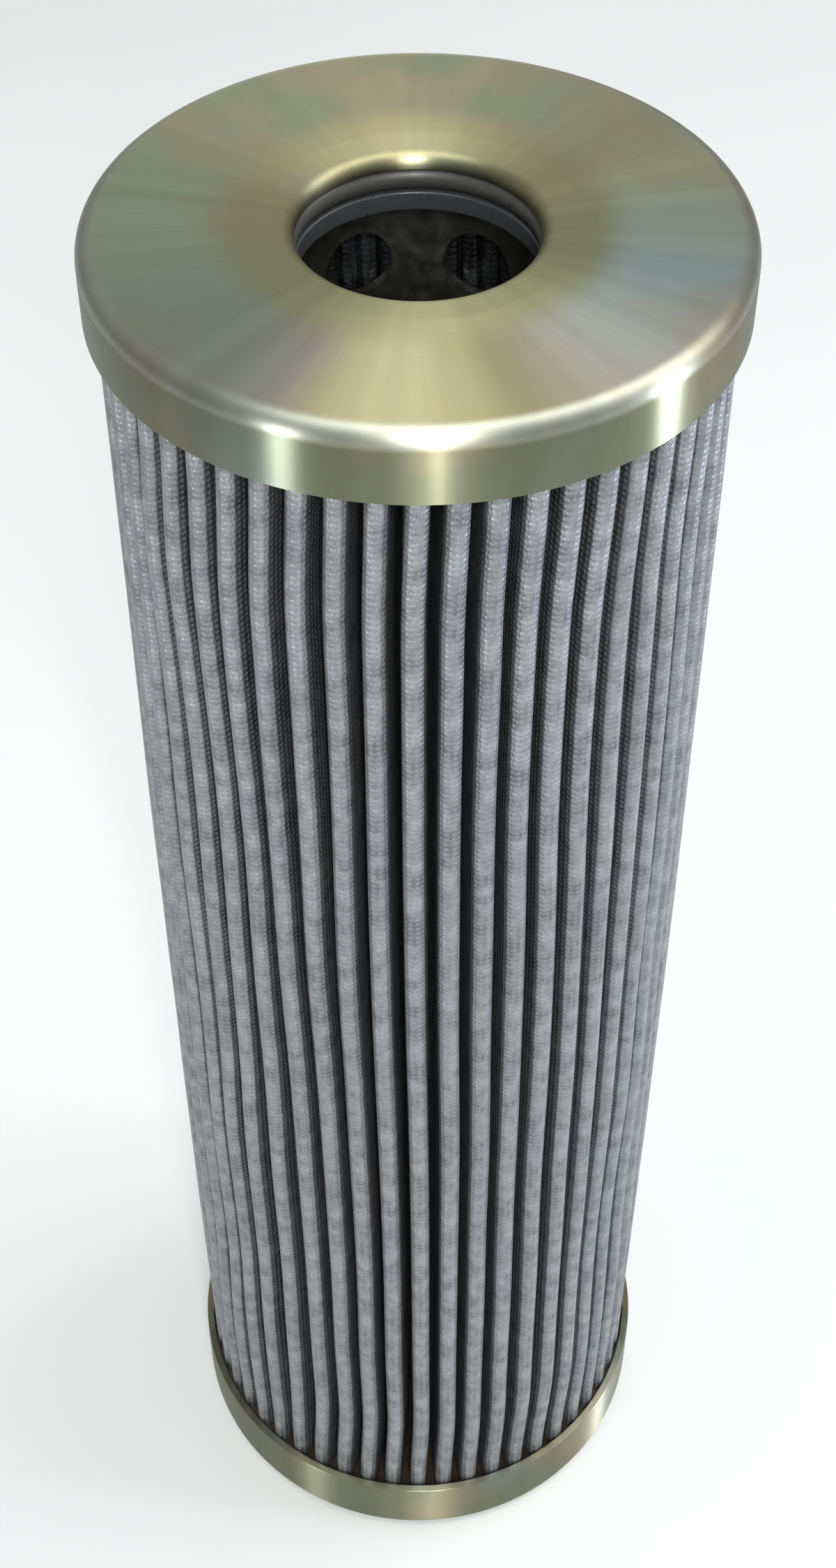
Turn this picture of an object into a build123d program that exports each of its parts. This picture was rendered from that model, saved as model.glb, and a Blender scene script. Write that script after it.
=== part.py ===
from build123d import *
import os
from math import acos, asin, atan2, cos, floor, hypot, pi, radians, sin, tan

# Pleated hydraulic filter element: two drawn steel end caps, a perforated core tube, and between
# them five sheets pleated together and bonded into both caps.
# Millimetres, +Z up along the axis, origin on the axis at the closed end's outer face.

# Whole element
overall_length = 250.0
cap_radius = 40.0

# End caps, each drawn from one sheet
cap_sheet = 1.25
cap_bend_inside = 1.0  # inside radius where plate turns into skirt
open_skirt = 9.5  # height of the open end's skirt, plate included
closed_skirt = 13.0  # height of the closed end's skirt, plate included

# Bore of the open end
bore_radius = 14.5
bore_bend_inside = 0.4  # inside radius where plate turns down into the bore
bore_lip = 0.3  # straight length below that bend
dish_slope = 4.0  # degrees, shallow cone from the core tube to the bore

# O-ring, and the ring under the bore that holds it
seal_section = 3.0
seal_stands_in = 0.2  # how far the O-ring stands inside the bore's wall
seal_play = 0.05
retainer_wall = 2.2
retainer_floor = 2.6
retainer_edge = 0.3  # rounding of the retainer's bore edges

# Core tube
core_wall = 1.2
core_fit = 0.2  # retainer in tube, on the radius
hole_radius = 4.5
holes_around = 8
hole_pitch = 14.0  # row to row
hole_margin = 5.0  # from the adhesive to the first hole's edge

# Sheets of the pleated stack
mesh_sheet = 0.22
fleece_sheet = 0.10
glass_sheet = 0.34
sheet_gap = 0.03

# Folds
tip_inside = 0.35  # inside radius of an outer fold
root_inside = 0.20  # inside radius of an inner fold
tip_facets = 6  # flats that make an outer fold's round
root_facets = 4  # flats that make an inner fold's round
root_gap = 0.10  # least room between neighbouring inner folds
core_clearance = 0.3  # core tube to inner folds
skirt_clearance = 0.25  # outer folds to cap skirt
seam_height = 2.0  # how far the seam bead reaches out from its fold's centre

# Adhesive
bond_web = 1.0  # between a cap's plate and the pleats' ends
bond_recess = 2.0  # adhesive's surface to the skirt's edge
bond_gap = 0.05

# From the bore outwards
groove_radius = bore_radius - seal_stands_in + seal_section + seal_play
retainer_outer = groove_radius + retainer_wall
core_inner = retainer_outer + core_fit
core_outer = core_inner + core_wall

# From the core side out: name and thickness of each sheet
plies = [
    ("inner_wire_mesh", mesh_sheet),
    ("downstream_fleece", fleece_sheet),
    ("glass_fibre_media", glass_sheet),
    ("upstream_fleece", fleece_sheet),
    ("outer_wire_mesh", mesh_sheet),
]
stack = sum(thickness for _, thickness in plies) + sheet_gap * (len(plies) - 1)

# Centres of the folds, and the pack between the two adhesive webs
skirt_inner = cap_radius - cap_sheet
root_outside = root_inside + stack
root_centre = core_outer + core_clearance + root_outside
tip_centre = skirt_inner - skirt_clearance - tip_inside - stack
pack_base = cap_sheet + bond_web
pack_length = overall_length - 2 * pack_base

# As many pleats as fit round the core tube, and the slant of the flanks between their folds
pleat_count = floor(pi / asin((root_outside + root_gap / 2) / root_centre))
half_pitch = pi / pleat_count
fold_along = root_centre * cos(half_pitch) - tip_centre
fold_across = root_centre * sin(half_pitch)
flank_turn = acos((tip_inside + root_outside) / hypot(fold_along, fold_across))
lean = atan2(fold_across, fold_along) - flank_turn
front = -pi / 2


def turned(corners):
    """Solid turned about Z from a half section with corners (radius, height, rounding)."""
    points = [(radius, height) for radius, height, _ in corners]
    section = make_face(Polyline(*points, close=True))
    for radius, height, rounding in corners:
        if rounding:
            corner = section.vertices().sort_by_distance((radius, height))[0]
            section = fillet(corner, rounding)
    return revolve(Plane.XZ * section, Axis.Z)


def fold_point(centre, axis, reach, turn):
    """Point at distance reach from a fold's centre, at an angle turn from the fold's axis."""
    x = centre * cos(axis) + reach * cos(axis + turn)
    y = centre * sin(axis) + reach * sin(axis + turn)
    return Vector(x, y)


def fold_arc(centre, axis, reach, start, end, facets):
    """Points of one fold's round, evenly spread from the turn start to the turn end."""
    turns = [start + (end - start) * step / facets for step in range(facets + 1)]
    return [fold_point(centre, axis, reach, turn) for turn in turns]


def fold_wire(offset):
    """Closed line through all folds, offset outwards from the stack's core side.

    Outer and inner folds keep their centres and trade radius, so all such lines are parallel."""
    tip_reach = tip_inside + offset
    root_reach = root_outside - offset
    root_turn = pi - lean + half_pitch
    points = []
    for pleat in range(pleat_count):
        axis = front + 2 * half_pitch * pleat
        points += fold_arc(tip_centre, axis, tip_reach, -lean, lean, tip_facets)
        axis += half_pitch
        points += fold_arc(root_centre, axis, root_reach, 2 * pi - root_turn, root_turn, root_facets)
    return Wire.make_polygon(points, close=True)


def pleated(inner, outer):
    """Closed pleated ring between two offsets of the stack, as long as the pack."""
    section = Face(fold_wire(outer), [fold_wire(inner)])
    return Pos(0, 0, pack_base) * extrude(section, amount=pack_length, dir=(0, 0, 1))


def seam_room():
    """Wedge over the inner fold opposite the front, where the sheets' two ends meet."""
    axis = front + half_pitch * (2 * (pleat_count // 2) + 1)
    reach = (root_centre + seam_height) / cos(half_pitch)
    ends = [fold_point(0, axis, reach, turn) for turn in (-half_pitch, half_pitch)]
    section = make_face(Polyline((0, 0), *ends, close=True))
    return extrude(section, amount=overall_length, dir=(0, 0, 1))


def pleated_sheets():
    """Each sheet of the stack in its place, open at the side seam."""
    sheets = {}
    inner = 0
    for name, thickness in plies:
        sheets[name] = pleated(inner, inner + thickness) - seam_room()
        inner += thickness + sheet_gap
    return sheets


def side_seam_bead():
    """Adhesive fold that joins the sheets' two ends along the pack."""
    return pleated(0, stack) & seam_room()


def bore_lip_corners():
    """Corners of the plate's turned-down edge: on its top and its underside, and its end."""
    slope = radians(dish_slope)
    lip_radius = bore_radius + cap_sheet
    dish_radius = retainer_outer
    under_radius = dish_radius + cap_sheet * tan(slope / 2)
    top = overall_length - (dish_radius - bore_radius) * tan(slope)
    under = overall_length - cap_sheet - (under_radius - lip_radius) * tan(slope)
    bend = bore_bend_inside + cap_sheet
    end = top - bend * tan((pi / 2 - slope) / 2) - bore_lip
    return top, under, under_radius, end


def open_end_cap():
    """Drawn cup whose plate dips to a bore and turns down into it."""
    plate = overall_length
    top, under, under_radius, lip_end = bore_lip_corners()
    return turned([
        (bore_radius, lip_end, 0),
        (bore_radius, top, bore_bend_inside + cap_sheet),
        (retainer_outer, plate, 0),
        (cap_radius, plate, cap_bend_inside + cap_sheet),
        (cap_radius, plate - open_skirt, 0),
        (skirt_inner, plate - open_skirt, 0),
        (skirt_inner, plate - cap_sheet, cap_bend_inside),
        (under_radius, plate - cap_sheet, 0),
        (bore_radius + cap_sheet, under, bore_bend_inside),
        (bore_radius + cap_sheet, lip_end, 0),
    ])


def closed_end_cap():
    """Drawn cup with a plain plate."""
    return turned([
        (0, 0, 0),
        (cap_radius, 0, cap_bend_inside + cap_sheet),
        (cap_radius, closed_skirt, 0),
        (skirt_inner, closed_skirt, 0),
        (skirt_inner, cap_sheet, cap_bend_inside),
        (0, cap_sheet, 0),
    ])


def bore_o_ring():
    """O-ring just under the bore's lip."""
    radius = seal_section / 2
    lip_end = bore_lip_corners()[-1]
    height = lip_end - seal_play - radius
    return Pos(0, 0, height) * Torus(bore_radius - seal_stands_in + radius, radius)


def seal_retainer():
    """Ring with an inward floor under the O-ring, fixed to the cap's underside."""
    top, under, under_radius, lip_end = bore_lip_corners()
    slope = radians(dish_slope)
    groove_top = overall_length - cap_sheet - (under_radius - groove_radius) * tan(slope)
    seat = lip_end - 2 * seal_play - seal_section
    return turned([
        (bore_radius, seat - retainer_floor, retainer_edge),
        (bore_radius, seat, retainer_edge),
        (groove_radius, seat, 0),
        (groove_radius, groove_top - bond_gap, 0),
        (retainer_outer, overall_length - cap_sheet - bond_gap, 0),
        (retainer_outer, seat - retainer_floor, retainer_edge),
    ])


def core_tube():
    """Tube from plate to plate with staggered rows of holes clear of the adhesive."""
    foot = cap_sheet
    length = overall_length - 2 * cap_sheet
    tube = Cylinder(core_outer, length, align=(Align.CENTER, Align.CENTER, Align.MIN))
    tube -= Cylinder(core_inner, length, align=(Align.CENTER, Align.CENTER, Align.MIN))
    tube = Pos(0, 0, foot) * tube
    low = closed_skirt - bond_recess + hole_margin + hole_radius
    high = overall_length - open_skirt + bond_recess - hole_margin - hole_radius
    rows = floor((high - low) / hole_pitch) + 1
    first = (low + high - (rows - 1) * hole_pitch) / 2
    drill = Cylinder(hole_radius, 2 * hole_radius, rotation=(0, 90, 0))
    holes = []
    for row in range(rows):
        for place in range(holes_around):
            turn = 360 / holes_around * (place + row % 2 / 2)
            lift = Pos(0, 0, first + row * hole_pitch)
            holes.append(lift * Rot(0, 0, turn) * Pos(core_outer, 0, 0) * drill)
    return tube - holes


def bond(skirt):
    """Adhesive in a cap with this skirt: a web under the pleats' ends and fins between them."""
    rim = skirt_inner - bond_gap
    surface = skirt - bond_recess
    fill = turned([
        (core_outer + bond_gap, cap_sheet, 0),
        (rim, cap_sheet, cap_bend_inside + bond_gap),
        (rim, surface, 0),
        (core_outer + bond_gap, surface, 0),
    ])
    pleats = extrude(Face(fold_wire(stack + bond_gap)), amount=skirt, dir=(0, 0, 1))
    return fill - Pos(0, 0, pack_base) * pleats


def open_end_bond():
    """The open cap's adhesive, as in a closed cap but turned over."""
    return Pos(0, 0, overall_length) * mirror(bond(open_skirt), about=Plane.XY)


parts = {
    "open_end_cap": open_end_cap(),
    "closed_end_cap": closed_end_cap(),
    "bore_o_ring": bore_o_ring(),
    "seal_retainer": seal_retainer(),
    "core_tube": core_tube(),
    "side_seam_bead": side_seam_bead(),
    "open_end_adhesive": open_end_bond(),
    "closed_end_adhesive": bond(closed_skirt),
}
parts.update(pleated_sheets())

os.makedirs("parts", exist_ok=True)
for name, part in parts.items():
    part.label = name
    export_step(part, f"parts/{name}.step")
print("pleats", pleat_count, "stack", round(stack, 2), "flank slant", round(lean * 180 / pi, 1))
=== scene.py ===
import bmesh
import bpy
import numpy as np
from math import acos, atan2, cos, hypot, pi, radians, sin, tan
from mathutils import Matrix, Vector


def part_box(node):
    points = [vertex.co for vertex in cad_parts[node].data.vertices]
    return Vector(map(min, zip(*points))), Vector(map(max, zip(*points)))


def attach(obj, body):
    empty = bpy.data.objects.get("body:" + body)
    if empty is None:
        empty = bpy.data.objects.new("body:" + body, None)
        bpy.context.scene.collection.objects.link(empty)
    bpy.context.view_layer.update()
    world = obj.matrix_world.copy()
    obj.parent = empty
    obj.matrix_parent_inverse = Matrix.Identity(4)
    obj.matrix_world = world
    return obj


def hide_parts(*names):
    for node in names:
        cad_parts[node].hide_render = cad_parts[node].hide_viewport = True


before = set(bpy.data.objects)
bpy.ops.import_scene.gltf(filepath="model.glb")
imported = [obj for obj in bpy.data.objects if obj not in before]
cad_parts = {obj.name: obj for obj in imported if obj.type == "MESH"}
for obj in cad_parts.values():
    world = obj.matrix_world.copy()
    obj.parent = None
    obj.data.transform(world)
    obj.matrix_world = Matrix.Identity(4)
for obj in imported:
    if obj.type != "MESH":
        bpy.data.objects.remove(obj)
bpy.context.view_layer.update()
mm = 0.001
print("frame loaded")

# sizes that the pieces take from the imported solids, in millimetres
capLow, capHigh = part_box("open_end_cap")
capRadius = capHigh.x / mm
wholeHeight = capHigh.z / mm
openSkirt = (capHigh.z - capLow.z) / mm
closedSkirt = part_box("closed_end_cap")[1].z / mm
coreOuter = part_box("core_tube")[1].x / mm
packLow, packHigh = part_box("outer_wire_mesh")
packBase, packTop, packRadius = packLow.z / mm, packHigh.z / mm, -packLow.y / mm


def linearColour(hexValue):
    # sRGB hex to linear: c / 12.92 below 0.04045, else ((c + 0.055) / 1.055) ^ 2.4
    channels = np.array([int(hexValue[i:i + 2], 16) for i in (1, 3, 5)]) / 255
    linear = np.where(channels <= 0.04045, channels / 12.92, ((channels + 0.055) / 1.055) ** 2.4)
    return (*linear.tolist(), 1.0)


def addNode(tree, kind, inputs=None, **settings):
    # one node: settings are its own properties, inputs are sockets by name or number, and a
    # (node, output) pair or a node makes a link
    node = tree.nodes.new(kind)
    for key, value in settings.items():
        setattr(node, key, value)
    for key, value in (inputs or {}).items():
        if isinstance(value, bpy.types.Node):
            tree.links.new(value.outputs[0], node.inputs[key])
        elif isinstance(value, tuple) and isinstance(value[0], bpy.types.Node):
            tree.links.new(value[0].outputs[value[1]], node.inputs[key])
        else:
            node.inputs[key].default_value = value
    return node


def newMaterial(name):
    # an empty material with its output, ready for a shader
    material = bpy.data.materials.new(name)
    material.use_nodes = True
    tree = material.node_tree
    tree.nodes.clear()
    return material, tree, addNode(tree, "ShaderNodeOutputMaterial")


def putMesh(name, points, faces, cornerUv, material, stands, sharpAngle=35, weld=False):
    # points (n, 3) in metres, faces (m, 4) of point numbers, cornerUv (m, 4, 2) in metres;
    # faces are turned round if the volume they enclose is negative, and weld closes poles
    triangles = np.concatenate([faces[:, [0, 1, 2]], faces[:, [0, 2, 3]]])
    a, b, c = (points[triangles[:, i]] for i in range(3))
    if np.einsum("ij,ij->i", a, np.cross(b, c)).sum() < 0:
        faces, cornerUv = faces[:, ::-1], cornerUv[:, ::-1]
    mesh = bpy.data.meshes.new(name)
    mesh.vertices.add(len(points))
    mesh.vertices.foreach_set("co", points.astype(np.float32).ravel())
    mesh.loops.add(faces.size)
    mesh.loops.foreach_set("vertex_index", faces.astype(np.int32).ravel())
    mesh.polygons.add(len(faces))
    mesh.polygons.foreach_set("loop_start", np.arange(0, faces.size, 4, dtype=np.int32))
    layer = mesh.uv_layers.new(name="surface")
    layer.data.foreach_set("uv", cornerUv.astype(np.float32).ravel())
    mesh.update(calc_edges=True)
    if weld:
        shell = bmesh.new()
        shell.from_mesh(mesh)
        bmesh.ops.remove_doubles(shell, verts=shell.verts, dist=1e-7)
        shell.to_mesh(mesh)
        shell.free()
    mesh.validate()
    mesh.polygons.foreach_set("use_smooth", np.ones(len(mesh.polygons), bool))
    mesh.set_sharp_from_angle(angle=radians(sharpAngle))
    mesh.materials.append(material)
    piece = bpy.data.objects.new(name, mesh)
    bpy.context.scene.collection.objects.link(piece)
    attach(piece, "root")
    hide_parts(stands)


def roundedOutline(corners, steps):
    # closed outline through corners (radius, height, rounding): at a rounded corner an arc that is
    # tangent to both sides, whose centre lies rounding / sin(half the corner) along its bisector
    points = []
    for here, (before, after) in zip(corners, zip(corners[-1:] + corners[:-1], corners[1:] + corners[:1])):
        corner, rounding = np.array(here[:2]), here[2]
        if not rounding:
            points.append(corner[None])
            continue
        toBefore, toAfter = np.array(before[:2]) - corner, np.array(after[:2]) - corner
        toBefore, toAfter = toBefore / np.linalg.norm(toBefore), toAfter / np.linalg.norm(toAfter)
        bisector = (toBefore + toAfter) / np.linalg.norm(toBefore + toAfter)
        half = acos(float(np.clip(toBefore @ bisector, -1, 1)))
        centre = corner + bisector * rounding / sin(half)
        start = corner + toBefore * rounding / tan(half) - centre
        end = corner + toAfter * rounding / tan(half) - centre
        t = np.linspace(0, 1, steps + 1)[:, None]
        arc = start * (1 - t) + end * t
        points.append(centre + rounding * arc / np.linalg.norm(arc, axis=1, keepdims=True))
    return np.concatenate(points)


def turned(name, outline, around, material, stands):
    # f(s, a) = (r(s) cos a, r(s) sin a, z(s)): the closed outline r, z carried round the axis;
    # the UV has the length along the outline and the share of the turn
    outline = outline[np.r_[True, np.linalg.norm(np.diff(outline, axis=0), axis=1) > 1e-6]]
    rows = len(outline)
    angle = 2 * pi * np.arange(around) / around
    radius, height = outline[:, 0, None], outline[:, 1, None]
    grid = np.stack([radius * np.cos(angle), radius * np.sin(angle), height + 0 * angle], -1) * mm
    i, j = np.meshgrid(np.arange(rows), np.arange(around), indexing="ij")
    nextI, nextJ = (i + 1) % rows, (j + 1) % around
    faces = np.stack([i * around + j, i * around + nextJ, nextI * around + nextJ, nextI * around + j], -1)
    along = np.r_[0, np.cumsum(np.linalg.norm(np.diff(outline, axis=0, append=outline[:1]), axis=1))] * mm
    share, nextShare = j / around, (j + 1) / around
    uv = np.stack([np.stack([along[i], share], -1), np.stack([along[i], nextShare], -1),
                   np.stack([along[i + 1], nextShare], -1), np.stack([along[i + 1], share], -1)], -2)
    walls = (outline[i, 0] + outline[nextI, 0]).ravel() > 0  # no wall along the axis itself
    faces, uv = faces.reshape(-1, 4)[walls], uv.reshape(-1, 4, 2)[walls]
    putMesh(name, grid.reshape(-1, 3), faces, uv, material, stands, weld=bool((~walls).any()))


zinc = dict(
    # colours round the plate: 0 at the back, 0.25 on the left, 0.5 at the front, 0.75 on the right; the
    # film's own tints, with painted reflection in their lightness, darkest at the back
    fan=[(0.00, "#747964"), (0.125, "#868C70"), (0.25, "#98A68C"), (0.375, "#90998A"), (0.43, "#938A7C"),
         (0.458, "#A9A37E"), (0.50, "#A29F7C"), (0.53, "#958F6A"), (0.555, "#8C8568"), (0.60, "#A09F95"),
         (0.70, "#A2B3B0"), (0.80, "#A3A68A"), (1.00, "#747964")],
    paintedReflectionStart=(0.5, 0.66),  # where the fan's painted reflection fades in, as shares of the cap's radius
    # the bend's paler colour is a painted highlight
    inner="#959572", bend="#A6A99B", skirt="#797C66",
    rose="#A5886B", roseSpread=(0.5, 0.72, 0.45),  # where in the clouds rose starts, is full, how strong
    blue="#8A9DA2", blueSpread=(0.55, 0.75, 0.5),
    cloudSize=22.2, patchSize=35.7,  # drifts of the film, mm
    streaks=9.0, streakDepth=(0.91, 1.06),  # radial streaks, and the darkest and brightest of them
    ringPitch=0.625, ringDepth=0.2,  # turning rings, mm
    plateRoughness=0.36, skirtRoughness=0.29, cloudRoughness=0.08,
    plateStretch=0.8, skirtStretch=1.0,  # how far the tool's lines stretch a highlight, 0 to 1
    plateFade=(2.6, 0.4),  # below the top, mm, where the skirt's finish and darker colour, painted shade, turn into the plate's
    bendOut=(2.4, 1.2), bendDown=(2.4, 1.6),  # in from the rim and below the top, mm, where the bend's paler colour, a painted highlight, fades
)


def spunZinc(name):
    # zinc-plated steel, a drawn cup dressed as it spun on a lathe and then yellow passivated: fine rings
    # stretch each highlight into a fan, and the thin chromate film drifts between straw, rose and blue
    material, tree, output = newMaterial(name)
    place = addNode(tree, "ShaderNodeTexCoord")
    split = addNode(tree, "ShaderNodeSeparateXYZ", {0: (place, "Object")})
    # angle round the axis, atan2(x, -y), which is 0 at the front and grows to the right
    forward = addNode(tree, "ShaderNodeMath", {0: (split, "Y"), 1: -1.0}, operation="MULTIPLY")
    turn = addNode(tree, "ShaderNodeMath", {0: (split, "X"), 1: forward}, operation="ARCTAN2")
    fan = addNode(tree, "ShaderNodeMapRange", {"Value": turn, "From Min": -pi, "From Max": pi})
    # painted reflection: the ramp makes the plate lighter or darker round the axis as its reflections fall,
    # over the film's own tints
    filmTintAndPaintedReflection = addNode(tree, "ShaderNodeValToRGB", {"Fac": fan})
    stops = filmTintAndPaintedReflection.color_ramp.elements
    while len(stops) < len(zinc["fan"]):
        stops.new(0.5)
    for stop, (position, colour) in zip(stops, zinc["fan"]):
        stop.position, stop.color = position, linearColour(colour)
    # radial streaks: noise on the direction from the axis, stretched along the radius
    flat = addNode(tree, "ShaderNodeCombineXYZ", {"X": (split, "X"), "Y": (split, "Y")})
    outward = addNode(tree, "ShaderNodeVectorMath", {0: flat}, operation="NORMALIZE")
    streak = addNode(tree, "ShaderNodeTexNoise",
                     {"Vector": outward, "Scale": zinc["streaks"], "Detail": 3.0, "Roughness": 0.6})
    cloud = addNode(tree, "ShaderNodeTexNoise", {"Vector": (place, "Object"), "Detail": 4.0,
                                                 "Scale": 1 / (zinc["cloudSize"] * mm), "Roughness": 0.55})
    patch = addNode(tree, "ShaderNodeTexNoise", {"Vector": (place, "Object"), "Detail": 2.0,
                                                 "Scale": 1 / (zinc["patchSize"] * mm), "Roughness": 0.5})
    # the fan's painted reflection lies on the outer half of the plate, the middle is evener, and the skirt is
    # a darker plain straw, painted shade
    away = addNode(tree, "ShaderNodeVectorMath", {0: flat}, operation="LENGTH")
    outer = addNode(tree, "ShaderNodeMapRange", {
        "Value": (away, "Value"), "From Min": zinc["paintedReflectionStart"][0] * capRadius * mm,
        "From Max": zinc["paintedReflectionStart"][1] * capRadius * mm}, interpolation_type="SMOOTHSTEP")
    plate = addNode(tree, "ShaderNodeMapRange", {
        "Value": (split, "Z"), "From Min": (wholeHeight - zinc["plateFade"][0]) * mm,
        "From Max": (wholeHeight - zinc["plateFade"][1]) * mm})
    # painted highlight: the bend is given a paler colour, so that the glints along the rim come out whiter
    bendOut = addNode(tree, "ShaderNodeMapRange", {
        "Value": (away, "Value"), "From Min": (capRadius - zinc["bendOut"][0]) * mm,
        "From Max": (capRadius - zinc["bendOut"][1]) * mm})
    bendTop = addNode(tree, "ShaderNodeMapRange", {
        "Value": (split, "Z"), "From Min": (wholeHeight - zinc["bendDown"][0]) * mm,
        "From Max": (wholeHeight - zinc["bendDown"][1]) * mm})
    bend = addNode(tree, "ShaderNodeMath", {0: bendOut, 1: bendTop}, operation="MULTIPLY")
    rose, blue = (addNode(tree, "ShaderNodeMapRange", {"Value": noise, "From Min": spread[0],
                                                       "From Max": spread[1], "To Max": spread[2]})
                  for noise, spread in ((cloud, zinc["roseSpread"]), (patch, zinc["blueSpread"])))
    tone = addNode(tree, "ShaderNodeMix", {"Factor": outer, 6: linearColour(zinc["inner"]),
                                           7: (filmTintAndPaintedReflection, 0)}, data_type="RGBA")
    # painted shade: the skirt's colour is darker than the plate's
    tone = addNode(tree, "ShaderNodeMix", {"Factor": plate, 6: linearColour(zinc["skirt"]),
                                           7: (tone, 2)}, data_type="RGBA")
    for share, tint in ((bend, zinc["bend"]), (rose, zinc["rose"]), (blue, zinc["blue"])):
        tone = addNode(tree, "ShaderNodeMix", {"Factor": share, 6: (tone, 2), 7: linearColour(tint)},
                       data_type="RGBA")
    shade = addNode(tree, "ShaderNodeMapRange", {"Value": streak, "From Min": 0.3, "From Max": 0.7,
                                                 "To Min": zinc["streakDepth"][0],
                                                 "To Max": zinc["streakDepth"][1]})
    tone = addNode(tree, "ShaderNodeMix", {"Factor": 1.0, 6: (tone, 2), 7: shade},
                   data_type="RGBA", blend_type="MULTIPLY")
    # turning rings 0.05 mm apart are too fine to show, so they are drawn coarser
    rings = addNode(tree, "ShaderNodeTexNoise", {"W": (away, "Value"), "Scale": 1 / (zinc["ringPitch"] * mm),
                                                 "Detail": 2.0}, noise_dimensions="1D")
    bump = addNode(tree, "ShaderNodeBump",
                   {"Height": rings, "Strength": 0.05, "Distance": zinc["ringDepth"] * mm})
    # the dressed plate is rougher than the drawn skirt
    grade = addNode(tree, "ShaderNodeMapRange", {"Value": plate, "To Min": zinc["skirtRoughness"],
                                                 "To Max": zinc["plateRoughness"]})
    rough = addNode(tree, "ShaderNodeMath", {0: cloud, 1: zinc["cloudRoughness"], 2: grade},
                    operation="MULTIPLY_ADD")
    stretch = addNode(tree, "ShaderNodeMapRange", {"Value": plate, "To Min": zinc["skirtStretch"],
                                                   "To Max": zinc["plateStretch"]})
    tangent = addNode(tree, "ShaderNodeTangent", direction_type="UV_MAP", uv_map="surface")
    shader = addNode(tree, "ShaderNodeBsdfPrincipled", {
        "Base Color": (tone, 2), "Metallic": 1.0, "Roughness": rough, "Anisotropic": stretch,
        "Tangent": tangent, "Normal": bump})
    tree.links.new(shader.outputs[0], output.inputs[0])
    return material


cloth = dict(
    wire="#94979B", wireDark="#696C70",  # wires in bright and in dull drifts
    fleece="#6E6F72", paintedShadeInside="#2E2F31",  # what shows in the openings of the outer and the inner cloth: dark greys, painted shade on the fleece behind; the inner one also darkens the inner cloth's drifts
    pitch=0.9, relief=0.1, cloudSize=3.125,  # wire to wire, depth of the weave and drifts of tone, mm
    crimp=0.4, opening=(0.55, 0.95),  # how far wires bend round each other, heights where openings end
    roughness=0.42, metallic=0.85,
    paintedShadeDepth=(1.7, 0.25), paintedShadeTone=0.55,  # below the tips, mm, where painted shade darkens the cloth down into the folds, and how dark it gets
)


def wovenWire(name, wire, dark, behind):
    # plain-woven steel wire cloth: round wires over and under each other, which breaks the light into
    # beads, with the fleece behind the openings
    material, tree, output = newMaterial(name)
    uv = addNode(tree, "ShaderNodeUVMap", uv_map="surface")
    # wires 0.5 mm apart are too fine to show, so they are drawn 0.9 mm apart
    cells = addNode(tree, "ShaderNodeVectorMath", {0: uv, 1: (pi / (cloth["pitch"] * mm),) * 3},
                    operation="MULTIPLY")
    split = addNode(tree, "ShaderNodeSeparateXYZ", {0: cells})
    waves = [addNode(tree, "ShaderNodeMath", {0: (split, axis)}, operation="SINE") for axis in ("X", "Y")]
    sides = [addNode(tree, "ShaderNodeMath", {0: wave}, operation="ABSOLUTE") for wave in waves]
    signs = [addNode(tree, "ShaderNodeMath", {0: wave}, operation="SIGN") for wave in waves]
    heights = []
    for own, other, way in ((0, 1, cloth["crimp"]), (1, 0, -cloth["crimp"])):
        # a wire's height: |sin| across it plus the other way's sin, whose sign swaps from wire to wire
        over = addNode(tree, "ShaderNodeMath", {0: signs[own], 1: waves[other]}, operation="MULTIPLY")
        heights.append(addNode(tree, "ShaderNodeMath", {0: over, 1: way, 2: sides[own]},
                               operation="MULTIPLY_ADD"))
    height = addNode(tree, "ShaderNodeMath", {0: heights[0], 1: heights[1]}, operation="MAXIMUM")
    mask = addNode(tree, "ShaderNodeMapRange", {"Value": height, "From Min": cloth["opening"][0],
                                                "From Max": cloth["opening"][1]})
    place = addNode(tree, "ShaderNodeTexCoord")
    cloud = addNode(tree, "ShaderNodeTexNoise", {"Vector": (place, "Object"), "Detail": 3.0,
                                                 "Scale": 1 / (cloth["cloudSize"] * mm), "Roughness": 0.6})
    drift = addNode(tree, "ShaderNodeMapRange", {"Value": cloud, "From Min": 0.35, "From Max": 0.65})
    tone = addNode(tree, "ShaderNodeMix", {"Factor": drift, 6: linearColour(dark), 7: linearColour(wire)},
                   data_type="RGBA")
    tone = addNode(tree, "ShaderNodeMix", {"Factor": mask, 6: linearColour(behind), 7: (tone, 2)},
                   data_type="RGBA")
    # painted shade: the cloth is darkened down into the folds between the pleats, where shade falls; the tips
    # keep their full colour
    across = addNode(tree, "ShaderNodeVectorMath", {0: (place, "Object"), 1: (1.0, 1.0, 0.0)},
                     operation="MULTIPLY")
    reach = addNode(tree, "ShaderNodeVectorMath", {0: across}, operation="LENGTH")
    paintedFoldShade = addNode(tree, "ShaderNodeMapRange", {
        "Value": (reach, "Value"), "From Min": (packRadius - cloth["paintedShadeDepth"][0]) * mm,
        "From Max": (packRadius - cloth["paintedShadeDepth"][1]) * mm, "To Min": cloth["paintedShadeTone"]})
    tone = addNode(tree, "ShaderNodeMix", {"Factor": 1.0, 6: (tone, 2), 7: paintedFoldShade},
                   data_type="RGBA", blend_type="MULTIPLY")
    metal = addNode(tree, "ShaderNodeMapRange", {"Value": mask, "To Max": cloth["metallic"]})
    bump = addNode(tree, "ShaderNodeBump",
                   {"Height": height, "Strength": 0.8, "Distance": cloth["relief"] * mm})
    shader = addNode(tree, "ShaderNodeBsdfPrincipled", {
        "Base Color": (tone, 2), "Metallic": metal, "Roughness": cloth["roughness"], "Normal": bump})
    tree.links.new(shader.outputs[0], output.inputs[0])
    return material


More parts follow.
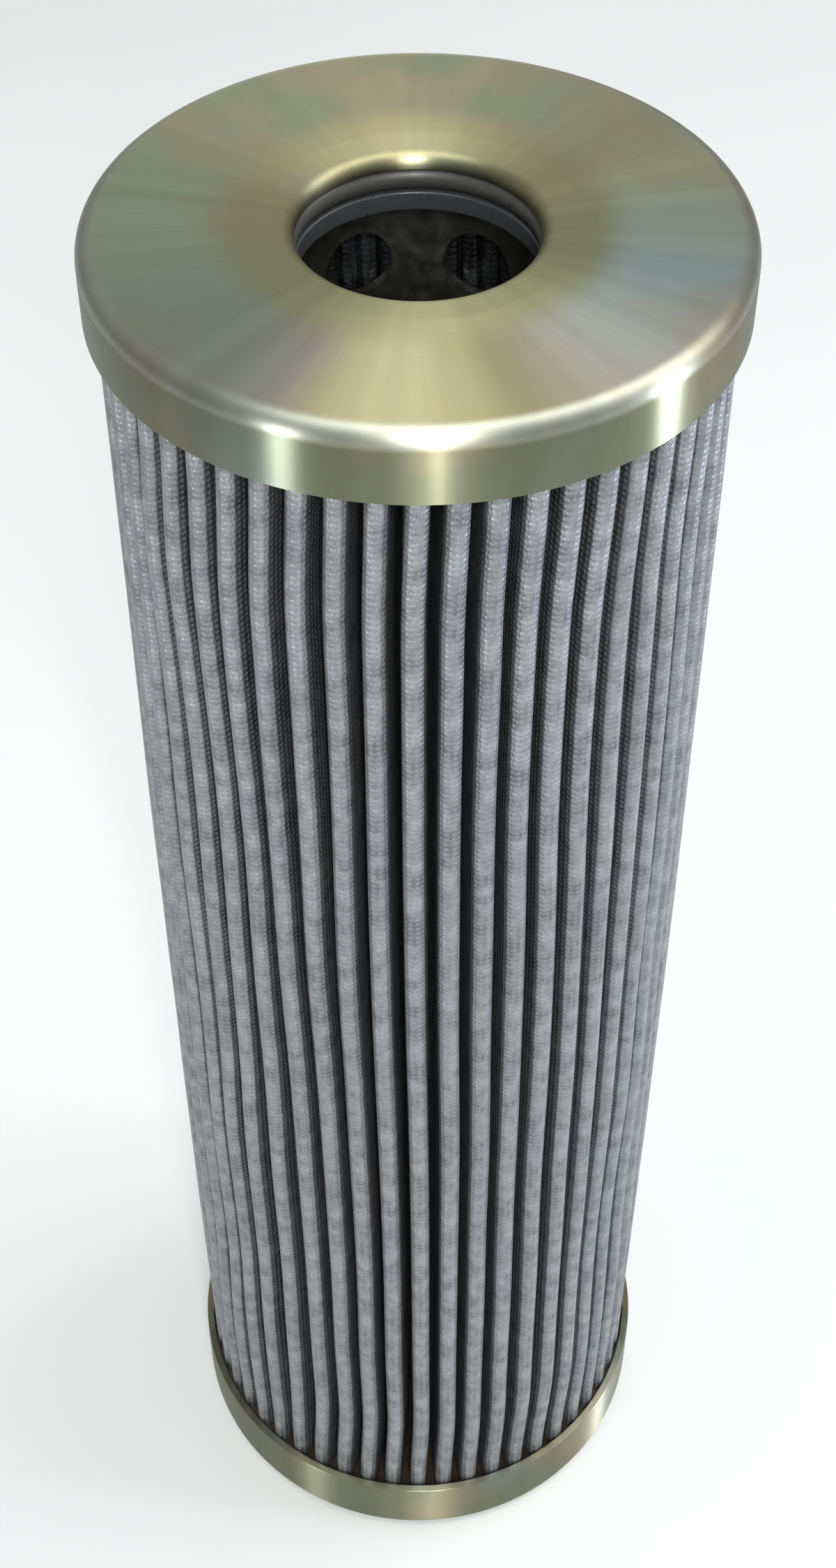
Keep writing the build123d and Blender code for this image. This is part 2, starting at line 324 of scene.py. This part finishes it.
grained = dict(
    # bonded threads: matt and faintly mottled
    fleece=dict(name="spun-bonded polyester fleece", colour="#E8E6DD", deeper="#C9C6BC",
                roughness=0.9, grain=0.8, relief=0.05),
    # a felt of very fine fibres: matt, like blotting paper
    glassFibre=dict(name="wet-laid glass fibre", colour="#EFEBDD", deeper="#D5D0C0",
                    roughness=0.95, grain=0.6, relief=0.05),
    # pressed in a polished mould: a soft sheen
    rubber=dict(name="moulded nitrile rubber", colour="#4A4A48", deeper="#323231",
                roughness=0.42, grain=0.6, relief=0.01),
    # injected into a smooth mould: a plain sheen, a little sharper than the rubber's
    nylon=dict(name="moulded black nylon", colour="#434446", deeper="#2B2C2E",
               roughness=0.4, grain=0.5, relief=0.01),
    # poured and set: glossy, with slow dips where it shrank
    epoxy=dict(name="cast epoxy adhesive", colour="#3E3228", deeper="#2A211A",
               roughness=0.35, grain=1.5, relief=0.08),
    # punched flat and then rolled: an even dull metal
    core=dict(name="perforated and rolled zinc-plated steel", colour="#A4A49C", deeper="#85857C",
              roughness=0.4, grain=2.0, relief=0.01, metallic=1.0),
)


def grainedFinish(name, colour, deeper, roughness, grain, relief, metallic=0.0):
    # noise of the grain's own size, in mm, tints and dents the surface and makes it rougher or smoother
    material, tree, output = newMaterial(name)
    place = addNode(tree, "ShaderNodeTexCoord")
    noise = addNode(tree, "ShaderNodeTexNoise",
                    {"Vector": (place, "Object"), "Scale": 1 / (grain * mm), "Detail": 4.0, "Roughness": 0.6})
    tone = addNode(tree, "ShaderNodeMix", {"Factor": noise, 6: linearColour(deeper), 7: linearColour(colour)},
                   data_type="RGBA")
    bump = addNode(tree, "ShaderNodeBump", {"Height": noise, "Strength": 0.5, "Distance": relief * mm})
    rough = addNode(tree, "ShaderNodeMapRange", {"Value": noise, "From Min": 0.3, "From Max": 0.7,
                                                 "To Min": roughness - 0.06, "To Max": roughness + 0.06})
    shader = addNode(tree, "ShaderNodeBsdfPrincipled", {
        "Base Color": (tone, 2), "Metallic": metallic, "Roughness": rough, "Normal": bump})
    tree.links.new(shader.outputs[0], output.inputs[0])
    return material


capMetal = spunZinc("yellow-passivated zinc on spun steel")
outerWire = wovenWire("woven steel wire cloth, outer", cloth["wire"], cloth["wireDark"], cloth["fleece"])
# painted shade: the inner cloth, seen only inside the core tube, gets the dull wire colour and a near black
# in its drifts and openings
innerWire = wovenWire("woven steel wire cloth, inner", cloth["wireDark"], cloth["paintedShadeInside"], cloth["paintedShadeInside"])
finishes = {key: grainedFinish(**values) for key, values in grained.items()}
print("materials made")

capSheet = dict(
    thickness=1.25, bendInside=1.0,  # the sheet, and the inside of its bend into the skirt, mm
    edgeRound=0.12,  # broken edge of the cut sheet
    around=240, arcSteps=10,
)
openCap = dict(
    boreRadius=14.5, boreBend=0.4, lipLength=0.3,  # the bend's inside, and the straight edge below it
    dishSlope=4.0, dishRound=6.0,  # degrees from the core tube's line to the bore, and that line's rounding
)
oRing = dict(section=3.0, standsIn=0.2, play=0.05, around=160, steps=24)  # standsIn: into the bore, mm
sealRing = dict(wall=2.2, floor=2.6, edgeRound=0.3, gap=0.05, around=160, arcSteps=6)

# the plate's underside runs parallel to its top, so its corners lie sheet * tan(half the turn) away
sheet, boreRadius = capSheet["thickness"], openCap["boreRadius"]
skirtInner = capRadius - sheet
grooveRadius = boreRadius - oRing["standsIn"] + oRing["section"] + oRing["play"]
retainerOuter = grooveRadius + sealRing["wall"]
slope = radians(openCap["dishSlope"])
lipRadius = boreRadius + sheet
underRadius = retainerOuter + sheet * tan(slope / 2)
boreTop = wholeHeight - (retainerOuter - boreRadius) * tan(slope)
boreUnder = wholeHeight - sheet - (underRadius - lipRadius) * tan(slope)
boreBend = openCap["boreBend"] + sheet
lipEnd = boreTop - boreBend * tan((pi / 2 - slope) / 2) - openCap["lipLength"]

# drawn cup whose plate dips to a bore and turns down into it
turned("openCap", roundedOutline([
    (boreRadius, lipEnd, capSheet["edgeRound"]),
    (boreRadius, boreTop, boreBend),
    (retainerOuter, wholeHeight, openCap["dishRound"]),
    (capRadius, wholeHeight, capSheet["bendInside"] + sheet),
    (capRadius, wholeHeight - openSkirt, capSheet["edgeRound"]),
    (skirtInner, wholeHeight - openSkirt, capSheet["edgeRound"]),
    (skirtInner, wholeHeight - sheet, capSheet["bendInside"]),
    (underRadius, wholeHeight - sheet, 0),
    (lipRadius, boreUnder, openCap["boreBend"]),
    (lipRadius, lipEnd, capSheet["edgeRound"]),
], capSheet["arcSteps"]), capSheet["around"], capMetal, "open_end_cap")

# plain drawn cup; its two centre points close into poles
turned("closedCap", roundedOutline([
    (0, 0, 0),
    (capRadius, 0, capSheet["bendInside"] + sheet),
    (capRadius, closedSkirt, capSheet["edgeRound"]),
    (skirtInner, closedSkirt, capSheet["edgeRound"]),
    (skirtInner, sheet, capSheet["bendInside"]),
    (0, sheet, 0),
], capSheet["arcSteps"]), capSheet["around"], capMetal, "closed_end_cap")

# f(t) = centre + section / 2 * (cos t, sin t), just under the bore's lip
sealRadius = oRing["section"] / 2
sealTurn = np.linspace(0, 2 * pi, oRing["steps"], endpoint=False)[:, None]
sealCentre = np.array((boreRadius - oRing["standsIn"] + sealRadius, lipEnd - oRing["play"] - sealRadius))
turned("oRing", sealCentre + sealRadius * np.hstack([np.cos(sealTurn), np.sin(sealTurn)]),
       oRing["around"], finishes["rubber"], "bore_o_ring")

# ring with an inward floor under the O-ring
seat = lipEnd - 2 * oRing["play"] - oRing["section"]
grooveTop = wholeHeight - sheet - (underRadius - grooveRadius) * tan(slope)
turned("sealRing", roundedOutline([
    (boreRadius, seat - sealRing["floor"], sealRing["edgeRound"]),
    (boreRadius, seat, sealRing["edgeRound"]),
    (grooveRadius, seat, 0),
    (grooveRadius, grooveTop - sealRing["gap"], 0),
    (retainerOuter, wholeHeight - sheet - sealRing["gap"], 0),
    (retainerOuter, seat - sealRing["floor"], sealRing["edgeRound"]),
], sealRing["arcSteps"]), sealRing["around"], finishes["nylon"], "seal_retainer")
print("caps and seal made")

pleats = dict(
    count=52, tipInside=0.35, rootInside=0.20,  # inside radii of the outer and the inner folds, mm
    sheetGap=0.03, coreClearance=0.3,
    seamHeight=2.0,  # where the sheets' ends are cut, out from the seam fold's centre
    twist=1.1,  # degrees either way, left over from wrapping
    sway=0.1, swaySides=1.9,  # sideways wander of a pleat's tip, mm, at the front and at the sides
    sideFalloff=1.5,  # how closely the greater sway keeps to the two sides
    heave=0.12,  # in and out wander of a tip, mm
    bulge=0.4,  # how far the pack swells between the caps, mm
    bondDepth=(8.75, 5.25),  # held straight by the adhesive at the foot and at the top, mm
    easing=26.0,  # length over which the wander grows, mm
    seed=52, waves=(1.0, 1.7, 2.6, 3.9, 5.4, 7.7, 10.3),  # half waves in the pack's height
    weights=(1.0, 0.9, 0.75, 0.6, 0.45, 0.35, 0.22),  # how strong each of them is
    swaySpread=1.7, heaveSpread=0.9, neighbours=5,  # how many pleats lean together
    wanderSteps=240,  # steps in the height at which the wander is worked out
)
# each sheet from the core tube outwards: piece, thickness in mm, flats of a tip round, of a root round
# and of a flank, rows, material and slot
sheets = dict(
    inner_wire_mesh=("innerWireMesh", 0.22, (4, 4, 2), 40, innerWire, "inner_mesh"),
    downstream_fleece=("downstreamFleece", 0.10, (4, 3, 2), 40, finishes["fleece"], "fleece"),
    glass_fibre_media=("glassFibreMedium", 0.34, (5, 3, 2), 40, finishes["glassFibre"], "glass_fibre"),
    upstream_fleece=("upstreamFleece", 0.10, (5, 3, 2), 40, finishes["fleece"], "fleece"),
    outer_wire_mesh=("outerWireMesh", 0.22, (10, 3, 2), 54, outerWire, "outer_mesh"),
)
seamBead = dict(steps=(4, 6, 2), rows=40)

# centres of the folds, and the slant of the flanks between them
stack = sum(thickness for _, thickness, *_ in sheets.values()) + pleats["sheetGap"] * (len(sheets) - 1)
rootOutside = pleats["rootInside"] + stack
rootCentre = coreOuter + pleats["coreClearance"] + rootOutside
tipCentre = packRadius - pleats["tipInside"] - stack
halfPitch = pi / pleats["count"]
foldAlong, foldAcross = rootCentre * cos(halfPitch) - tipCentre, rootCentre * sin(halfPitch)
lean = atan2(foldAcross, foldAlong) - acos((pleats["tipInside"] + rootOutside) / hypot(foldAlong, foldAcross))
rootTurn = pi - lean + halfPitch
seamAxis = -pi / 2 + halfPitch * (2 * (pleats["count"] // 2) + 1)
pleatAxes = seamAxis + halfPitch * (2 * np.arange(pleats["count"]) + 1)

chance = np.random.default_rng(pleats["seed"])
wanderHeights = np.linspace(0, 1, pleats["wanderSteps"] + 1)


def wander(spread):
    # how far each tip strays at each height, -1 to 1: a sum of slow sines with seeded phases, added
    # over its neighbours with weights exp(-(places away / spread)^2) so that pleats lean together,
    # then tanh(sum / twice its standard deviation)
    waves, weights = np.array(pleats["waves"]), np.array(pleats["weights"])
    phase = chance.uniform(0, 2 * pi, (pleats["count"], len(waves)))
    size = chance.normal(0, 1, (pleats["count"], len(waves))) * weights
    field = (size[:, None] * np.sin(waves * pi * wanderHeights[:, None] + phase[:, None])).sum(-1)
    shifts = range(-pleats["neighbours"], pleats["neighbours"] + 1)
    blend = sum(np.roll(field, shift, 0) * np.exp(-(shift / spread) ** 2) for shift in shifts)
    return np.tanh(blend / (2 * blend.std()))


swayField, heaveField = wander(pleats["swaySpread"]), wander(pleats["heaveSpread"])


def foldRound(centre, axis, reach, start, end, steps):
    # arc: a centre on the axis, plus reach at turns from start to end, as complex x + iy
    turn = np.linspace(start, end, steps + 1)
    return centre * np.exp(1j * axis) + reach * np.exp(1j * (axis + turn))


def flank(start, end, steps):
    # the points between two folds: start + (end - start) * share, without the ends
    return start + (end - start) * np.arange(1, steps) / steps


def seamCut(start, end, axis):
    # where a flank crosses the seam's cut, square to the seam fold's axis: start + (end - start) *
    # (the cut's distance - the start's) / (the end's distance - the start's), all along that axis
    a, b = start * np.exp(-1j * axis), end * np.exp(-1j * axis)
    share = (rootCentre + pleats["seamHeight"] - a.real) / (b.real - a.real)
    return start + (end - start) * share


def pleatFolds(offset, steps):
    # the three folds of a pleat whose tip lies on the x axis, and the seam's cuts through its flanks;
    # offset is the line's distance out from the core side of the stack
    tip = foldRound(tipCentre, 0, pleats["tipInside"] + offset, -lean, lean, steps[0])
    root, nextRoot = (foldRound(rootCentre, axis, rootOutside - offset, 2 * pi - rootTurn, rootTurn, steps[1])
                      for axis in (-halfPitch, halfPitch))
    cuts = seamCut(root[-1], tip[0], -halfPitch), seamCut(nextRoot[0], tip[-1], halfPitch)
    return root, tip, nextRoot, cuts


def sheetLine(offset, steps):
    # one pleat turned to every pleat's axis, from seam to seam, and the pleat that each point belongs to
    root, tip, nextRoot, (first, last) = pleatFolds(offset, steps)
    pleat = np.concatenate([root, flank(root[-1], tip[0], steps[2]), tip,
                            flank(tip[-1], nextRoot[0], steps[2])])
    line = (pleat * np.exp(1j * pleatAxes)[:, None]).ravel()[len(root):]
    owner = np.repeat(np.arange(pleats["count"]), len(pleat))[len(root):]
    line = np.concatenate([[first * np.exp(1j * pleatAxes[0])], line, [last * np.exp(1j * pleatAxes[-1])]])
    return line, np.concatenate([[0], owner, [pleats["count"] - 1]])


def beadLine(offset, steps):
    # the seam's own fold between the two cuts, of which each half belongs to the pleat beside it
    _, _, fold, (first, last) = pleatFolds(offset, steps)
    line = np.concatenate([[last], fold, [first * np.exp(2j * halfPitch)]])
    owner = np.full(len(line), pleats["count"] - 1)
    owner[len(owner) // 2:] = 0
    return line * np.exp(1j * pleatAxes[-1]), owner


def wandered(line, owner, rows):
    # f(s, h): radius + heave + bulge * sin(pi h) and angle + sway / radius, growing evenly from the
    # roots to the tips, and angle + twist * cos(pi h) for both; all ease from nothing in the adhesive
    height = np.linspace(0, 1, rows + 1)
    span = packTop - packBase
    grow = np.clip((np.abs(line) - rootCentre) / (tipCentre - rootCentre), 0, 1)
    low, high = pleats["bondDepth"]
    ease = np.clip(np.minimum(height * span - low, (1 - height) * span - high) / pleats["easing"], 0, 1)
    ease = ease * ease * (3 - 2 * ease)
    index = np.round(height * pleats["wanderSteps"]).astype(int)
    atSides = np.abs(np.cos(pleatAxes[owner])) ** pleats["sideFalloff"]
    sway = pleats["sway"] + (pleats["swaySides"] - pleats["sway"]) * atSides
    sideways = swayField[owner][:, index] * (sway * grow)[:, None] * ease
    swell = heaveField[owner][:, index] * pleats["heave"] + pleats["bulge"] * np.sin(pi * height)
    out = swell * grow[:, None] * ease
    twist = radians(pleats["twist"]) * np.cos(pi * height) * ease
    radius = np.abs(line)[:, None] + out
    angle = np.angle(line)[:, None] + sideways / radius + twist
    level = np.broadcast_to(packBase + height * span, radius.shape)
    return np.stack([radius * np.cos(angle), radius * np.sin(angle), level], -1).swapaxes(0, 1) * mm


def pleatedSheet(name, lineOf, inner, outer, steps, rows, material, stands):
    # closed strip: the outer line there and the inner line back, carried up the pack, and two ends
    outerLine, owner = lineOf(outer, steps)
    innerLine, _ = lineOf(inner, steps)
    loop = np.concatenate([outerLine, innerLine[::-1]])
    points = wandered(loop, np.concatenate([owner, owner[::-1]]), rows)
    count, half = len(loop), len(outerLine)
    i, j = np.meshgrid(np.arange(rows), np.arange(count), indexing="ij")
    nextJ = (j + 1) % count
    sides = np.stack([i * count + j, i * count + nextJ, (i + 1) * count + nextJ, (i + 1) * count + j], -1)
    # length along the outer line, the same for the points that face each other
    run = np.r_[0, np.cumsum(np.abs(np.diff(outerLine)))] * mm
    run = np.concatenate([run, run[::-1]])
    rise = np.linspace(packBase, packTop, rows + 1) * mm
    uv = np.stack([np.stack([run[j], rise[i]], -1), np.stack([run[nextJ], rise[i]], -1),
                   np.stack([run[nextJ], rise[i + 1]], -1), np.stack([run[j], rise[i + 1]], -1)], -2)
    k = np.arange(half - 1)
    end = np.stack([k, count - 1 - k, count - 2 - k, k + 1], -1)
    endUv = np.stack([run[end], np.full(end.shape, rise[0])], -1)
    faces = np.concatenate([sides.reshape(-1, 4), end, end[:, ::-1] + rows * count])
    cornerUv = np.concatenate([uv.reshape(-1, 4, 2), endUv, endUv[:, ::-1]])
    putMesh(name, points.reshape(-1, 3), faces, cornerUv, material, stands, sharpAngle=40)


depth = 0
for node, (piece, thickness, steps, rows, material, slot) in sheets.items():
    pleatedSheet(piece, sheetLine, depth, depth + thickness, steps, rows, material, node)
    depth += thickness + pleats["sheetGap"]
pleatedSheet("seamBead", beadLine, 0, stack, seamBead["steps"], seamBead["rows"],
             finishes["epoxy"], "side_seam_bead")
print("pleats made")

# the solids that keep their own shape get their materials
for node, finish in dict(core_tube="core", open_end_adhesive="epoxy", closed_end_adhesive="epoxy").items():
    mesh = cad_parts[node].data
    mesh.materials.clear()
    mesh.materials.append(finishes[finish])

floor = dict(size=4.0, colour="#BABDBC", roughness=0.9, glow=0.165)  # size in metres

edge = floor["size"] / 2
floorMesh = bpy.data.meshes.new("floor")
floorMesh.from_pydata([(-edge, -edge, 0), (edge, -edge, 0), (edge, edge, 0), (-edge, edge, 0)], [],
                      [(0, 1, 2, 3)])
floorObject = bpy.data.objects.new("floor", floorMesh)
bpy.context.scene.collection.objects.link(floorObject)
# uncoated paper: matt, with a little light of its own so that it looks evenly pale
floorMaterial, tree, output = newMaterial("matt white paper")
floorShader = addNode(tree, "ShaderNodeBsdfPrincipled", {
    "Base Color": linearColour(floor["colour"]), "Roughness": floor["roughness"],
    "Emission Color": linearColour("#FFFFFF"), "Emission Strength": floor["glow"]})
tree.links.new(floorShader.outputs[0], output.inputs[0])
floorMesh.materials.append(floorMaterial)

lamps = {
    # azimuth from the front with right positive, elevation, distance, width and height, watts, colour
    "overhead box": (104, 72, 1.2, (0.6, 2.1), 18, "#FFFFFF"),
    "box behind": (181.6, 50, 1.1, (0.13, 0.3), 0.3, "#FFFFFF"),
    "fill from the front": (5, 44, 1.2, (0.26, 0.5), 12, "#FFFFFF"),
    # these three stand low, and the skirts show them as upright streaks
    "right window": (81, -1, 0.9, (0.09, 0.2), 6, "#E6F0FF"),
    "small lamp right of the camera": (6, -1, 0.9, (0.02, 0.2), 1.2, "#FFFAF0"),
    "faint lamp left": (-41, -1, 0.9, (0.1, 0.2), 2.6, "#FFFFFF"),
}
aimHeight = 0.12  # metres, near the middle of the element

for name, (azimuth, elevation, distance, size, power, colour) in lamps.items():
    lamp = bpy.data.lights.new(name, "AREA")
    lamp.shape = "RECTANGLE"
    lamp.size, lamp.size_y = size
    lamp.energy = power
    lamp.color = linearColour(colour)[:3]
    a, e = radians(azimuth), radians(elevation)
    lampObject = bpy.data.objects.new(name, lamp)
    lampObject.location = (distance * sin(a) * cos(e), -distance * cos(a) * cos(e),
                           aimHeight + distance * sin(e))
    lampObject.rotation_euler = (pi / 2 - e, 0, a)
    lampObject.visible_camera = False
    bpy.context.scene.collection.objects.link(lampObject)

room = dict(
    colour="#F4F7F8",
    ground=0.25, front=0.25, sky=0.6,  # brightness low down, and high up in front and at the back
    frontToBack=0.6, horizon=(0.05, 0.5),  # where one grows into the other, as parts of a unit direction
)

world = bpy.data.worlds.new("studio")
world.use_nodes = True
bpy.context.scene.world = world
tree = world.node_tree
tree.nodes.clear()
direction = addNode(tree, "ShaderNodeTexCoord")
split = addNode(tree, "ShaderNodeSeparateXYZ", {0: (direction, "Generated")})
behind = addNode(tree, "ShaderNodeMapRange", {
    "Value": (split, "Y"), "From Min": -room["frontToBack"], "From Max": room["frontToBack"],
    "To Min": room["front"], "To Max": room["sky"]})
above = addNode(tree, "ShaderNodeMapRange", {"Value": (split, "Z"), "From Min": room["horizon"][0],
                                             "From Max": room["horizon"][1]})
level = addNode(tree, "ShaderNodeMix", {0: above, 2: room["ground"], 3: behind}, data_type="FLOAT")
background = addNode(tree, "ShaderNodeBackground", {"Color": linearColour(room["colour"]), "Strength": level})
tree.links.new(background.outputs[0], addNode(tree, "ShaderNodeOutputWorld").inputs[0])

viewpoint = dict(lens=53.23, out=0.2327, up=0.4009, down=46.61)  # lens in mm, metres, degrees below level

camera = bpy.data.cameras.new("camera")
camera.lens = viewpoint["lens"]
camera.clip_start = 0.01
cameraObject = bpy.data.objects.new("camera", camera)
cameraObject.location = (0, -viewpoint["out"], viewpoint["up"])
cameraObject.rotation_euler = (radians(90 - viewpoint["down"]), 0, 0)
bpy.context.scene.collection.objects.link(cameraObject)
bpy.context.scene.camera = cameraObject
bpy.context.scene.view_settings.view_transform = "Standard"
print("stage made")
